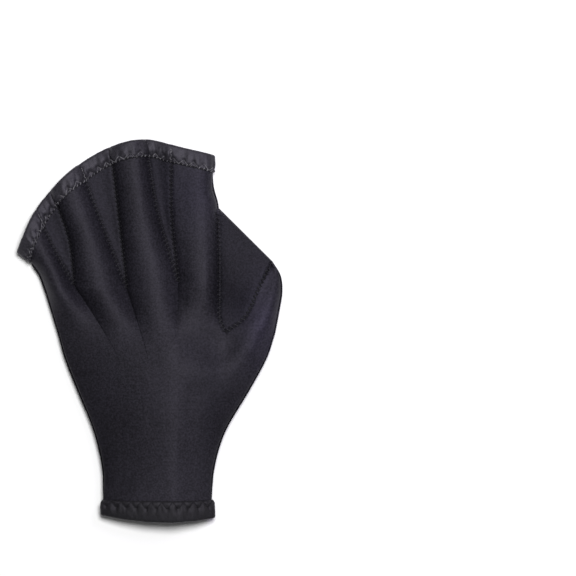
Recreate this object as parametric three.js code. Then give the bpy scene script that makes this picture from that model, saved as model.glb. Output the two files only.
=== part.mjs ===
// Webbed swim glove for the left hand, lying on its palm with the back of the hand up.
// The fingers point along +Y, the thumb lies on the +X side and the floor is z = 0. Millimetres.
import * as THREE from 'three';

// Overall sizes
const GLOVE_LENGTH = 222;
const GLOVE_BREADTH = 154;
const HAND_HEIGHT = 22;
const FINGER_HEIGHT = 17;

// Neoprene sheets, thinner where the back and the palm panel are stitched to each other
const PANEL_WALL = 2.2;
const WEB_WALL = 1.8;
const PANEL_GAP = 0.4;
const SIDE_LIP = 0.4;
const SEAM_RIM = 1.0;
const WEB_SAG = 0.8;

// Tape folded over the edges
const TAPE_WALL = 1.1;
const TAPE_CLEARANCE = 0.3;
const TOP_TAPE_WIDTH = 9;
const CUFF_TAPE_WIDTH = 13.6;
const CUFF_BOW = 2.7;
const CUFF_SLANT = 1.6;
const TAPE_REACH = TAPE_CLEARANCE + TAPE_WALL;

// Cross sections from the cuff to the thumb's crotch. Along and every place across are shares of the
// glove's length and breadth, the side seam and the crown are shares of the hand's height.
// Valleys run down from the four webs, from the little finger to the thumb.
const SECTIONS = [
  { along: 0.0, left: -0.174, valleys: [-0.086, 0.004, 0.094, 0.18], right: 0.253, seam: 0.45, crown: 0.86 },
  { along: 0.061, left: -0.172, valleys: [-0.085, 0.003, 0.092, 0.176], right: 0.247, seam: 0.45, crown: 0.87 },
  { along: 0.132, left: -0.168, valleys: [-0.084, 0.004, 0.092, 0.178], right: 0.248, seam: 0.44, crown: 0.9 },
  { along: 0.236, left: -0.2, valleys: [-0.08, 0.01, 0.098, 0.211], right: 0.29, seam: 0.42, crown: 0.96 },
  { along: 0.354, left: -0.268, valleys: [-0.087, 0.014, 0.106, 0.245], right: 0.388, seam: 0.39, crown: 1.0 },
  { along: 0.432, left: -0.312, valleys: [-0.108, 0.004, 0.11, 0.272], right: 0.448, seam: 0.37, crown: 1.0 },
  { along: 0.495, left: -0.337, valleys: [-0.158, -0.023, 0.11, 0.292], right: 0.478, seam: 0.36, crown: 0.97 },
];

// Free edge over the fingers, through the heads of the stitched lines, from the little finger's corner
// to the index finger's. Places are [across, along] shares.
const TOP_EDGE = [
  [-0.492, 0.705], [-0.422, 0.81], [-0.364, 0.864], [-0.258, 0.931],
  [-0.142, 0.977], [-0.006, 0.997], [0.092, 0.982], [0.25, 0.957],
];

// Lines that divide the panels above the thumb's crotch, in order across the glove. Each runs through
// `cross` up to the fingers' crotch and then through `upper`, whose last point is a knot of the top edge.
// The seam heights at the thumb's crotch, the fingers' crotch and the top edge are shares of the
// finger height. Lines of the thumb follow `thumb` from its crotch to its tip.
const LINES = {
  little_side: {
    cross: [[-0.3305, 0.495], [-0.378, 0.602]],
    upper: [[-0.378, 0.602], [-0.406, 0.65], [-0.45, 0.686]],
    knot: 0,
    seam: [0.466, 0.44, 0.4],
  },
  little_seam: {
    cross: [[-0.158, 0.495], [-0.274, 0.617]],
    upper: [[-0.274, 0.617], [-0.351, 0.715]],
    knot: 1,
    seam: [0.466, 0.42, 0.44],
  },
  ring_low_seam: {
    cross: [[-0.158, 0.495], [-0.274, 0.617]],
    upper: [[-0.274, 0.617], [-0.294, 0.735]],
    knot: 2,
    seam: [0.466, 0.42, 0.36],
  },
  ring_high_seam: {
    cross: [[-0.023, 0.495], [-0.077, 0.607]],
    upper: [[-0.077, 0.607], [-0.166, 0.769]],
    knot: 3,
    seam: [0.466, 0.38, 0.38],
  },
  middle_low_seam: {
    cross: [[-0.023, 0.495], [-0.077, 0.607]],
    upper: [[-0.077, 0.607], [-0.107, 0.792]],
    knot: 4,
    seam: [0.466, 0.38, 0.34],
  },
  middle_high_seam: {
    cross: [[0.11, 0.495], [0.115, 0.625]],
    upper: [[0.115, 0.625], [0.038, 0.81]],
    knot: 5,
    seam: [0.466, 0.38, 0.34],
  },
  index_low_seam: {
    cross: [[0.11, 0.495], [0.115, 0.625]],
    upper: [[0.115, 0.625], [0.09, 0.803]],
    knot: 6,
    seam: [0.466, 0.38, 0.46],
  },
  index_side: {
    cross: [[0.292, 0.495], [0.272, 0.526], [0.268, 0.576], [0.268, 0.625]],
    upper: [[0.268, 0.625], [0.267, 0.706], [0.258, 0.827], [0.243, 0.87]],
    knot: 7,
    seam: [0.34, 0.34, 0.38],
  },
  thumb_seam: {
    thumb: [[0.292, 0.495], [0.367, 0.537], [0.414, 0.607], [0.463, 0.676]],
    seam: [0.34, 0.36, 0.36],
  },
  thumb_side: {
    thumb: [[0.4715, 0.495], [0.488, 0.555], [0.498, 0.602], [0.492, 0.641], [0.463, 0.676]],
    seam: [0.466, 0.42, 0.36],
  },
};

// Lanes between neighbouring lines. A finger's crest heights at its crotch, half-way and at its end are
// shares of the finger height, and its peak is a share of the lane's breadth.
const LANES = {
  little: { from: 'little_side', to: 'little_seam', crest: [0.98, 0.86, 0.84], peak: 0.45 },
  little_web: { from: 'little_seam', to: 'ring_low_seam', web: true },
  ring: { from: 'ring_low_seam', to: 'ring_high_seam', crest: [1.04, 0.97, 0.9], peak: 0.4 },
  ring_web: { from: 'ring_high_seam', to: 'middle_low_seam', web: true },
  middle: { from: 'middle_low_seam', to: 'middle_high_seam', crest: [1.06, 1.0, 0.91], peak: 0.52 },
  middle_web: { from: 'middle_high_seam', to: 'index_low_seam', web: true },
  index: { from: 'index_low_seam', to: 'index_side', crest: [1.06, 1.0, 0.9], peak: 0.5 },
  thumb_web: { from: 'index_side', to: 'thumb_seam', web: true, thumb: true },
  thumb: { from: 'thumb_seam', to: 'thumb_side', crest: [1.1, 1.06, 0.3], peak: 0.5, thumb: true },
};

// Folds pressed into the back panel: both ends as shares of breadth and length, depth as a share of the
// hand's height and half width as a share of the breadth.
const FOLDS = [
  { from: [-0.27, 0.61], to: [-0.14, 0.54], depth: 0.05, width: 0.02 },
  { from: [-0.075, 0.6], to: [-0.015, 0.505], depth: 0.09, width: 0.02 },
  { from: [0.117, 0.615], to: [0.155, 0.565], depth: 0.06, width: 0.016 },
  { from: [0.285, 0.485], to: [0.26, 0.39], depth: 0.09, width: 0.035 },
  { from: [0.175, 0.29], to: [0.18, 0.09], depth: 0.06, width: 0.02 },
  { from: [-0.1, 0.25], to: [-0.08, 0.1], depth: 0.03, width: 0.025 },
];

// Where the thumb parts from the hand and the fingers from each other, as shares of the length
const THUMB_CROTCH = SECTIONS.at(-1).along;
const FINGER_CROTCH = LINES.ring_high_seam.upper[0][1];

// How far the fingers' and the thumb's tubes run down into the hand, in steps of the distance between
// the two crotches
const FINGER_FADE = -0.4;
const THUMB_FADE = -1.7;

// Roundness of the cross sections: higher orders are flatter in the middle and turn later
const ARCH_ORDER = 2.4;
const FLANK_ORDER = 0.8;
const PALM_ORDER = 7;
const FINGER_PAD_ORDER = 3.5;
const FLAT_SHARE = 1.12;
const COLUMN_EASE = 0.06;

// Rows and columns of the panels' grids
const BODY_ROWS = 9;
const CROSS_ROWS = 4;
const FINGER_ROWS = 6;
const FREE_EDGE_ROW = 4;
const FINGER_COLUMNS = 6;
const WEB_COLUMNS = 3;

const MATERIALS = {
  panel: { color: 0x2e2d32, roughness: 0.72, metalness: 0 },
  tape: { color: 0x424047, roughness: 0.6, metalness: 0 },
};

const lerp = THREE.MathUtils.lerp;
const smoothstep = THREE.MathUtils.smoothstep;

function place([across, along]) {
  return new THREE.Vector3(across * GLOVE_BREADTH, along * GLOVE_LENGTH, 0);
}

function spline(points) {
  return new THREE.CatmullRomCurve3(points, false, 'centripetal');
}

// The top edge of the panels: the tape's outer edge, moved inwards by the tape's reach
const topEdge = spline(TOP_EDGE.map(place));

function topEdgePoint(knot) {
  const share = knot / (TOP_EDGE.length - 1);
  const tangent = topEdge.getTangent(share);
  const inwards = new THREE.Vector3(tangent.y, -tangent.x, 0);
  return topEdge.getPoint(share).addScaledVector(inwards, TAPE_REACH);
}

// Sizes of a cross section of the body at a share of the length
function bodySection(along) {
  const last = SECTIONS.length - 1;
  const next = Math.max(1, SECTIONS.findIndex((section) => section.along >= along - 1e-9));
  const index = next > 0 ? next : last;
  const a = SECTIONS[index - 1];
  const b = SECTIONS[index];
  const share = (along - a.along) / (b.along - a.along);
  const before = SECTIONS[Math.max(0, index - 2)];
  const after = SECTIONS[Math.min(last, index + 1)];
  const blend = (read) => {
    const span = b.along - a.along;
    const startSlope = (read(b) - read(before)) / (b.along - before.along) * span;
    const endSlope = (read(after) - read(a)) / (after.along - a.along) * span;
    const s2 = share * share;
    const s3 = s2 * share;
    return (2 * s3 - 3 * s2 + 1) * read(a) + (s3 - 2 * s2 + share) * startSlope
      + (3 * s2 - 2 * s3) * read(b) + (s3 - s2) * endSlope;
  };
  return {
    left: blend((section) => section.left) * GLOVE_BREADTH + SEAM_RIM,
    right: blend((section) => section.right) * GLOVE_BREADTH - SEAM_RIM,
    valleys: a.valleys.map((_, valley) => blend((section) => section.valleys[valley]) * GLOVE_BREADTH),
    seam: blend((section) => section.seam) * HAND_HEIGHT,
    crown: blend((section) => section.crown) * HAND_HEIGHT,
  };
}

// Value of a short list of heights at equal steps of progress
function alongList(list, progress) {
  const at = Math.min(Math.max(progress, 0), list.length - 1);
  const index = Math.min(Math.floor(at), list.length - 2);
  return lerp(list[index], list[index + 1], at - index);
}

// Rows of the grid. Progress is below 0 in the body, 0 at the thumb's crotch, 1 at the fingers' crotch
// and 2 at the top edge. `fromTop` is the distance down from the top edge in the taped band.
function planRows() {
  const rows = [];
  const tapeShare = CUFF_TAPE_WIDTH / GLOVE_LENGTH;
  for (const share of [0, 0.5, 1]) {
    rows.push({ stage: 'body', along: share * tapeShare, cuff: 1 - share });
  }
  for (let step = 1; step <= BODY_ROWS; step += 1) {
    rows.push({ stage: 'body', along: lerp(tapeShare, THUMB_CROTCH, step / BODY_ROWS), cuff: 0 });
  }
  for (let step = 1; step <= CROSS_ROWS; step += 1) {
    rows.push({ stage: 'cross', share: step / CROSS_ROWS });
  }
  for (let step = 1; step <= FINGER_ROWS; step += 1) {
    rows.push({ stage: 'upper', share: step / FINGER_ROWS, fromTop: TOP_TAPE_WIDTH });
  }
  rows.push({ stage: 'band', share: 1, fromTop: TOP_TAPE_WIDTH / 2 });
  rows.push({ stage: 'band', share: 1, fromTop: 0 });
  return rows;
}

const rows = planRows();
const THUMB_ROW = 2 + BODY_ROWS;
const CROTCH_ROW = THUMB_ROW + CROSS_ROWS;
const FREE_EDGE = CROTCH_ROW + FREE_EDGE_ROW;
const TOP_ROW = rows.length - 1;

// Plan curves of the lines above the thumb's crotch
const curves = {};
for (const [name, line] of Object.entries(LINES)) {
  if (line.thumb) {
    curves[name] = { thumb: spline(line.thumb.map(place)) };
  } else {
    curves[name] = {
      cross: spline(line.cross.map(place)),
      upper: spline([...line.upper.map(place), topEdgePoint(line.knot)]),
    };
  }
}

const VALLEY_OF = {
  little_seam: 0, ring_low_seam: 0, ring_high_seam: 1, middle_low_seam: 1,
  middle_high_seam: 2, index_low_seam: 2, index_side: 3, thumb_seam: 3,
};

// Progress of a row, from the cuff to the top edge
function progressOf(index) {
  const row = rows[index];
  if (row.stage === 'body') return (row.along - THUMB_CROTCH) / (FINGER_CROTCH - THUMB_CROTCH);
  if (row.stage === 'cross') return row.share;
  const upper = curves.index_side.upper.getLength();
  return 1 + row.share * (upper - row.fromTop) / upper;
}

// Whether a line is a side seam at this row, where the two panels meet edge to edge
function isSide(name, index) {
  if (name === 'little_side' || name === 'thumb_side') return true;
  return name === 'index_side' && index > FREE_EDGE;
}

// Plan point, seam height, half gap between the panels and lip of a line at a row
function linePoint(name, index) {
  const row = rows[index];
  const progress = progressOf(index);
  const side = isSide(name, index);
  const fingerSeam = alongList(LINES[name].seam, progress) * FINGER_HEIGHT;
  const point = { side, lip: side ? SIDE_LIP : WEB_WALL, gap: PANEL_GAP / 2 };
  if (row.stage === 'body') {
    const section = bodySection(row.along);
    const valley = VALLEY_OF[name];
    point.x = valley === undefined ? (name === 'little_side' ? section.left : section.right)
      : section.valleys[valley];
    const across = (point.x - section.left) / (section.right - section.left);
    const bow = CUFF_BOW * (2 * across - 1) ** 2 + CUFF_SLANT * (1 - across);
    point.y = row.along * GLOVE_LENGTH + row.cuff * (TAPE_REACH + bow);
    const thumb = valley === 3 ? smoothstep(progress, THUMB_FADE, 0) : 0;
    point.seam = lerp(section.seam, fingerSeam, thumb);
    return point;
  }
  point.seam = fingerSeam;
  if (curves[name].thumb) {
    const share = (index - THUMB_ROW) / (FREE_EDGE - THUMB_ROW);
    Object.assign(point, planOf(curves[name].thumb.getPointAt(share)));
    if (name === 'thumb_side') point.lip = lerp(SIDE_LIP, WEB_WALL, smoothstep(share, 0.7, 1));
    return point;
  }
  if (row.stage === 'cross') {
    Object.assign(point, planOf(curves[name].cross.getPointAt(row.share)));
    return point;
  }
  const curve = curves[name].upper;
  const length = curve.getLength();
  const distance = row.share * (length - row.fromTop);
  Object.assign(point, planOf(curve.getPointAt(distance / length)));
  if (row.stage === 'band' && !side) point.gap += TAPE_REACH;
  return point;
}

function planOf(vector) {
  return { x: vector.x, y: vector.y };
}

// Rounded rise from 0 at a lane's edges to 1 at its peak
function crestShape(across, peak) {
  const share = across < peak ? across / peak : (1 - across) / (1 - peak);
  return Math.sin(Math.min(share, 1) * Math.PI / 2) ** FLANK_ORDER;
}

// Flat middle with a rounded turn up to both edges
function flatShape(across, order) {
  return Math.min(1, FLAT_SHARE * (1 - Math.abs(2 * across - 1) ** order));
}

function archShape(across) {
  return Math.sqrt(Math.max(0, 1 - Math.abs(2 * across - 1) ** ARCH_ORDER));
}

// Depth of the folds at a plan point
function foldDepth(x, y) {
  let depth = 0;
  for (const fold of FOLDS) {
    const start = place(fold.from);
    const along = place(fold.to).sub(start);
    const toPoint = new THREE.Vector3(x, y, 0).sub(start);
    const share = THREE.MathUtils.clamp(toPoint.dot(along) / along.lengthSq(), 0, 1);
    const distance = toPoint.addScaledVector(along, -share).length() / (fold.width * GLOVE_BREADTH);
    depth += fold.depth * HAND_HEIGHT * Math.exp(-distance * distance);
  }
  return depth;
}

// How far the palm panel is lifted off the floor, so that the tape under it rests there
function bandLift(index) {
  const fromCuff = index;
  const fromTop = TOP_ROW - index;
  if (fromCuff <= 2 || fromTop <= 2) return TAPE_REACH;
  if (fromCuff === 3 || fromTop === 3) return TAPE_REACH / 2;
  return 0;
}

// One vertex of a panel. Face is 1 for the back panel and -1 for the palm panel.
function panelVertex(face, lane, index, across, ends) {
  const { from, to, first, handEnd, last } = ends;
  const progress = progressOf(index);
  const edge = (point) => point.seam + face * (point.gap + point.lip);
  const mix = (key) => lerp(from[key], to[key], across);
  let x = mix('x');
  let y = mix('y');
  const sag = lane.web ? -WEB_SAG * Math.sin(across * Math.PI) * smoothstep(progress, 1, 1.6) : 0;
  const seam = mix('seam') + sag;
  const gap = mix('gap');
  const vertex = { seam, gap, wall: WEB_WALL, rim: index > 2 && index < TOP_ROW - 2 ? SEAM_RIM : 0 };
  if (index >= CROTCH_ROW && !lane.thumb) {
    const low = LINES[lane.from].knot;
    const high = LINES[lane.to].knot;
    const chord = topEdgePoint(low).lerp(topEdgePoint(high), across);
    const bulge = topEdgePoint(lerp(low, high, across)).sub(chord);
    const share = smoothstep(progress, 1.4, 2);
    x += bulge.x * share;
    y += bulge.y * share;
  }
  vertex.x = x;
  vertex.y = y;
  if (lane.web && (index >= CROTCH_ROW || lane.thumb)) {
    vertex.z = lerp(edge(from), edge(to), across) + sag;
    return vertex;
  }
  const tubeBase = lerp(edge(from), edge(to), across);
  const tubeShape = face > 0 ? crestShape(across, lane.peak) : flatShape(across, FINGER_PAD_ORDER);
  const floor = bandLift(index);
  const thumbShare = THREE.MathUtils.clamp((index - THUMB_ROW) / (FREE_EDGE - THUMB_ROW), 0, 1);
  const crestStep = lane.thumb ? 2 * thumbShare : 2 * Math.max(0, progress - 1);
  const crest = face > 0 ? alongList(lane.crest, crestStep) * FINGER_HEIGHT : floor;
  const tube = lerp(tubeBase, crest, tubeShape);
  if (index > THUMB_ROW && lane.thumb) {
    vertex.z = tube;
    vertex.wall = lerp(WEB_WALL, PANEL_WALL, tubeShape);
    return vertex;
  }
  const bodyShape = (share) => (face > 0 ? archShape(share) : flatShape(share, PALM_ORDER));
  const section = bodySection(rows[index].along ?? THUMB_CROTCH);
  const fingerCrown = lane.crest[0] * FINGER_HEIGHT;
  const crown = face > 0 ? lerp(section.crown, fingerCrown, THREE.MathUtils.clamp(progress, 0, 1)) : floor;
  const wholeShare = (x - first.x) / (last.x - first.x);
  const handShare = THREE.MathUtils.clamp((x - first.x) / (handEnd.x - first.x), 0, 1);
  const whole = lerp(lerp(edge(first), edge(last), wholeShare), crown, bodyShape(wholeShare));
  const hand = lerp(lerp(edge(first), edge(handEnd), handShare), crown, bodyShape(handShare));
  const thumbBlend = smoothstep(progress, THUMB_FADE, 0);
  const fingerBlend = smoothstep(progress, FINGER_FADE, 1);
  const part = lane.thumb ? tube : lerp(hand, tube, fingerBlend);
  const rise = lane.thumb ? thumbBlend : Math.max(thumbBlend, fingerBlend);
  vertex.z = lerp(whole, part, rise);
  const partShape = lane.thumb ? tubeShape : lerp(bodyShape(handShare), tubeShape, fingerBlend);
  const shape = lerp(bodyShape(wholeShare), partShape, rise);
  vertex.wall = lerp(WEB_WALL, PANEL_WALL, shape);
  if (face > 0) vertex.z -= foldDepth(x, y) * shape;
  return vertex;
}

// The sheet of one panel: welded vertices, faces and the vertex numbers of each row across all lanes
function panelSheet(face) {
  const vertices = [];
  const known = new Map();
  const faces = [];
  const strips = rows.map(() => []);
  const add = (vertex) => {
    const key = `${vertex.x.toFixed(3)} ${vertex.y.toFixed(3)}`;
    if (!known.has(key)) {
      known.set(key, vertices.length);
      vertices.push(vertex);
    }
    return known.get(key);
  };
  for (const lane of Object.values(LANES)) {
    const lastRow = lane.thumb ? FREE_EDGE : TOP_ROW;
    const firstRow = lane.web ? (lane.thumb ? THUMB_ROW : CROTCH_ROW) : 0;
    const columns = lane.web ? WEB_COLUMNS : FINGER_COLUMNS;
    let below = null;
    for (let index = firstRow; index <= lastRow; index += 1) {
      const ends = {
        from: linePoint(lane.from, index),
        to: linePoint(lane.to, index),
        first: linePoint('little_side', index),
        handEnd: linePoint('index_side', index),
        last: index <= FREE_EDGE ? linePoint('thumb_side', index) : linePoint('index_side', index),
      };
      const current = [];
      for (let column = 0; column <= columns; column += 1) {
        const share = column / columns;
        const eased = lane.web ? share : share - COLUMN_EASE * Math.sin(2 * Math.PI * share);
        current.push(add(panelVertex(face, lane, index, eased, ends)));
      }
      strips[index].push(...current.filter((number) => number !== strips[index].at(-1)));
      if (below) {
        for (let column = 0; column < columns; column += 1) {
          const quad = [below[column], below[column + 1], current[column + 1], current[column]];
          addQuad(faces, face > 0 ? quad : quad.reverse());
        }
      }
      below = current;
    }
  }
  return { vertices, faces, strips };
}

function addQuad(faces, [a, b, c, d]) {
  for (const triangle of [[a, b, c], [a, c, d]]) {
    if (new Set(triangle).size === 3) faces.push(triangle);
  }
}

// Unit normals at the vertices of a sheet
function sheetNormals(points, faces) {
  const normals = points.map(() => new THREE.Vector3());
  for (const [a, b, c] of faces) {
    const edge = points[b].clone().sub(points[a]);
    const normal = edge.cross(points[c].clone().sub(points[a]));
    for (const corner of [a, b, c]) normals[corner].add(normal);
  }
  return normals.map((normal) => normal.normalize());
}

// Directed edges that belong to one face only
function openEdges(faces) {
  const edges = new Map();
  for (const triangle of faces) {
    for (let corner = 0; corner < 3; corner += 1) {
      const a = triangle[corner];
      const b = triangle[(corner + 1) % 3];
      if (edges.has(`${b} ${a}`)) edges.delete(`${b} ${a}`);
      else edges.set(`${a} ${b}`, [a, b]);
    }
  }
  return [...edges.values()];
}

// A panel: its outer sheet, the inner sheet one wall away and the cut edges between them. The inner
// sheet stays on its side of the seam surface, and the palm panel's side edge stands a little proud.
function panel(face) {
  const sheet = panelSheet(face);
  const outer = sheet.vertices.map((vertex) => new THREE.Vector3(vertex.x, vertex.y, vertex.z));
  const normals = sheetNormals(outer, sheet.faces);
  const inner = outer.map((point, number) => {
    const { wall, seam, gap } = sheet.vertices[number];
    const moved = point.clone().addScaledVector(normals[number], -wall);
    const limit = seam + face * gap;
    moved.z = face > 0 ? Math.max(moved.z, limit) : Math.min(moved.z, limit);
    return moved;
  });
  const edges = openEdges(sheet.faces);
  if (face < 0) {
    const pushes = outer.map(() => new THREE.Vector3());
    for (const [a, b] of edges) {
      const along = outer[b].clone().sub(outer[a]);
      const away = new THREE.Vector3(-along.y, along.x, 0).normalize();
      pushes[a].add(away);
      pushes[b].add(away);
    }
    pushes.forEach((push, number) => {
      outer[number].addScaledVector(push.normalize(), sheet.vertices[number].rim);
    });
  }
  const count = outer.length;
  const faces = [...sheet.faces];
  for (const [a, b, c] of sheet.faces) faces.push([c + count, b + count, a + count]);
  for (const [a, b] of edges) faces.push([b, a, a + count], [b, a + count, b + count]);
  return { points: [...outer, ...inner], faces, outer, inner, normals, sheet, face };
}

// One column of a taped edge: outer and inner panel points and normals at the edge, half-way down the
// tape and at the tape's stitched edge
function tapeColumn(made, numbers) {
  return {
    outer: numbers.map((number) => made.outer[number].clone()),
    inner: numbers.map((number) => made.inner[number].clone()),
    normal: numbers.map((number) => made.normals[number].clone()),
    limit: made.sheet.vertices[numbers[0]].seam + made.face * PANEL_GAP / 2,
    face: made.face,
  };
}

// Section of the tape folded over the edge at a column
function tapeSection(column, tangent) {
  const { outer, inner, normal, limit, face } = column;
  const away = tangent.clone().cross(normal[0]).normalize();
  if (away.dot(outer[0].clone().sub(outer[1])) < 0) away.negate();
  const step = (point, alongNormal, number, alongAway) => point.clone()
    .addScaledVector(normal[number], alongNormal).addScaledVector(away, alongAway);
  const gap = TAPE_CLEARANCE;
  const far = TAPE_REACH;
  const loop = [
    step(outer[2], far, 2, 0),
    step(outer[1], far, 1, 0),
    step(outer[0], far, 0, 0),
    step(outer[0], far * 0.5, 0, far),
    step(inner[0], -far * 0.5, 0, far),
    step(inner[0], -far, 0, 0),
    step(inner[1], -far, 1, 0),
    step(inner[1], -gap, 1, 0),
    step(inner[0], -gap, 0, gap),
    step(outer[0], gap, 0, gap),
    step(outer[1], gap, 1, 0),
    step(outer[2], gap, 2, 0),
  ];
  if (limit !== undefined) {
    for (const point of loop) point.z = face > 0 ? Math.max(point.z, limit) : Math.min(point.z, limit);
  }
  return loop;
}

// Solid through a row of sections, closed into a ring or capped at its ends
function loft(sections, ring) {
  const size = sections[0].length;
  const faces = [];
  const spans = ring ? sections.length : sections.length - 1;
  for (let span = 0; span < spans; span += 1) {
    const a = span * size;
    const b = ((span + 1) % sections.length) * size;
    for (let corner = 0; corner < size; corner += 1) {
      const next = (corner + 1) % size;
      faces.push([a + corner, a + next, b + next], [a + corner, b + next, b + corner]);
    }
  }
  if (!ring) {
    const end = (sections.length - 1) * size;
    const half = size / 2;
    for (let corner = 0; corner < half - 1; corner += 1) {
      const back = size - 1 - corner;
      const strip = [[corner, back, corner + 1], [corner + 1, back, back - 1]];
      for (const [p, q, r] of strip) {
        faces.push([p, q, r], [end + r, end + q, end + p]);
      }
    }
  }
  return { points: sections.flat(), faces };
}

function tangents(columns, ring) {
  const count = columns.length;
  return columns.map((_, number) => {
    const before = ring ? (number + count - 1) % count : Math.max(0, number - 1);
    const after = ring ? (number + 1) % count : Math.min(count - 1, number + 1);
    return columns[after].outer[0].clone().sub(columns[before].outer[0]).normalize();
  });
}

function taped(columns, ring) {
  const directions = tangents(columns, ring);
  return loft(columns.map((column, number) => tapeSection(column, directions[number])), ring);
}

function columnsOf(made, rowNumbers) {
  const strips = rowNumbers.map((row) => made.sheet.strips[row]);
  return strips[0].map((_, number) => tapeColumn(made, strips.map((strip) => strip[number])));
}

function fingerBinding(made) {
  return taped(columnsOf(made, [TOP_ROW, TOP_ROW - 1, TOP_ROW - 2]), false);
}

// Column between the two panels at a side seam
function sideColumn(a, b) {
  const middle = (p, q) => p.clone().add(q).multiplyScalar(0.5);
  return {
    outer: a.outer.map((point, number) => middle(point, b.outer[number])),
    inner: a.inner.map((point, number) => middle(point, b.inner[number])),
    normal: a.normal.map((normal, number) => middle(normal, b.normal[number]).normalize()),
  };
}

function cuffBinding(back, palm) {
  const over = columnsOf(back, [0, 1, 2]);
  const under = columnsOf(palm, [0, 1, 2]).reverse();
  const free = (columns) => columns.slice(1, -1).map((column) => ({ ...column, limit: undefined }));
  const right = sideColumn(over.at(-1), under[0]);
  const left = sideColumn(under.at(-1), over[0]);
  return taped([left, ...free(over), right, ...free(under)], true);
}

// Signed volume, positive where the faces point out
function signedVolume({ points, faces }) {
  return faces.reduce((sum, [a, b, c]) => sum + points[a].dot(points[b].clone().cross(points[c])) / 6, 0);
}

function addMesh(group, name, solid, look) {
  const turned = signedVolume(solid) < 0;
  const faces = turned ? solid.faces.map(([a, b, c]) => [a, c, b]) : solid.faces;
  const geometry = new THREE.BufferGeometry().setFromPoints(solid.points);
  geometry.setIndex(faces.flat());
  geometry.computeVertexNormals();
  const mesh = new THREE.Mesh(geometry, new THREE.MeshStandardMaterial(look));
  mesh.name = name;
  group.add(mesh);
}

const back = panel(1);
const palm = panel(-1);
const pieces = [
  { name: 'back_panel', solid: back, look: MATERIALS.panel },
  { name: 'palm_panel', solid: palm, look: MATERIALS.panel },
  { name: 'finger_binding_back', solid: fingerBinding(back), look: MATERIALS.tape },
  { name: 'finger_binding_palm', solid: fingerBinding(palm), look: MATERIALS.tape },
  { name: 'cuff_binding', solid: cuffBinding(back, palm), look: MATERIALS.tape },
];

// The origin is the middle of the glove's box, on the floor
const box = new THREE.Box3().setFromPoints(pieces.flatMap((piece) => piece.solid.points));
const group = new THREE.Group();
for (const { name, solid, look } of pieces) addMesh(group, name, solid, look);
group.position.set(-(box.min.x + box.max.x) / 2, -(box.min.y + box.max.y) / 2, -box.min.z);

export default group;
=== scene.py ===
import math

import bpy
import numpy as np
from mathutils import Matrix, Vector, noise
from mathutils.bvhtree import BVHTree


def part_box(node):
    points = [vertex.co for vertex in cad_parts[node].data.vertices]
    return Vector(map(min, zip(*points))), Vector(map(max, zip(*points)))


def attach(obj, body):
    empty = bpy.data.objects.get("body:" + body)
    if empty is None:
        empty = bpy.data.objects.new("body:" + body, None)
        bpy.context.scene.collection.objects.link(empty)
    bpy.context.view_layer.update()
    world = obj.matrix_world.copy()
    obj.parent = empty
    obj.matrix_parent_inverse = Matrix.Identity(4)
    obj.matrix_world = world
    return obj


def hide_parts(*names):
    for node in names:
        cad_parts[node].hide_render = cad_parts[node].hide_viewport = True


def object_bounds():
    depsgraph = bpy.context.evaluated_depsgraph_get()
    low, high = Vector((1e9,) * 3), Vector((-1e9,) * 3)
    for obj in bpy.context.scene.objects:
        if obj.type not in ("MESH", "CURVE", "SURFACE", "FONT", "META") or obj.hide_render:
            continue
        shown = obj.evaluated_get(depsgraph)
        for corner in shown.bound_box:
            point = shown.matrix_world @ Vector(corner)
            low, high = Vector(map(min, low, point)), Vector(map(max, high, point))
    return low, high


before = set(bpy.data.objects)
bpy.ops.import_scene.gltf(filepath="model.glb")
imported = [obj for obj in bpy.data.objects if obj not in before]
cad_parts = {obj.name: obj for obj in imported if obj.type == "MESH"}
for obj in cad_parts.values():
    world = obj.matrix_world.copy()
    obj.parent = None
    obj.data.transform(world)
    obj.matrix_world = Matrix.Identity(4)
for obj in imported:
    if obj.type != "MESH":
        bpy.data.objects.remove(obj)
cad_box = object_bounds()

MM = 0.001

# Overall sizes
GLOVE_LENGTH = 222.0
GLOVE_BREADTH = 154.0
HAND_HEIGHT = 22.0
FINGER_HEIGHT = 17.0

# Panels
PANEL_WALL = 2.2
WEB_WALL = 1.8
PANEL_GAP = 0.4
SIDE_LIP = 0.4
SEAM_RIM = 1.0
FLOOR_GAP = 0.02
WEB_SAG = 1.2

# Tape
TAPE_WALL = 1.1
TAPE_CLEARANCE = 0.3
TAPE_REACH = TAPE_WALL + TAPE_CLEARANCE
TOP_TAPE_WIDTH = 9.0
CUFF_TAPE_WIDTH = 13.6
CUFF_BOW = 2.7
CUFF_SLANT = 1.6

# Cross sections up to the thumb's crotch. Places are shares of length and breadth, the side seam and
# the crown are shares of the hand's height.
SECTION_KEYS = ("along", "left", "valleys", "right", "seam", "crown")
SECTIONS = [dict(zip(SECTION_KEYS, row)) for row in (
    (0.0, -0.174, (-0.086, 0.004, 0.094, 0.18), 0.253, 0.45, 0.86),
    (0.061, -0.172, (-0.085, 0.003, 0.092, 0.176), 0.247, 0.45, 0.87),
    (0.132, -0.168, (-0.084, 0.004, 0.092, 0.178), 0.248, 0.44, 0.9),
    (0.236, -0.2, (-0.08, 0.01, 0.098, 0.211), 0.29, 0.42, 0.96),
    (0.354, -0.268, (-0.087, 0.014, 0.106, 0.245), 0.388, 0.39, 1.0),
    (0.432, -0.312, (-0.108, 0.004, 0.11, 0.272), 0.448, 0.37, 1.0),
    (0.495, -0.337, (-0.158, -0.023, 0.11, 0.292), 0.478, 0.36, 0.97),
)]

# Outer edge over the fingers, from the little finger's corner to the index finger's
TOP_EDGE = [
    (-0.492, 0.705), (-0.422, 0.81), (-0.364, 0.864), (-0.258, 0.931),
    (-0.142, 0.977), (-0.006, 0.997), (0.092, 0.982), (0.25, 0.957),
]

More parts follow.
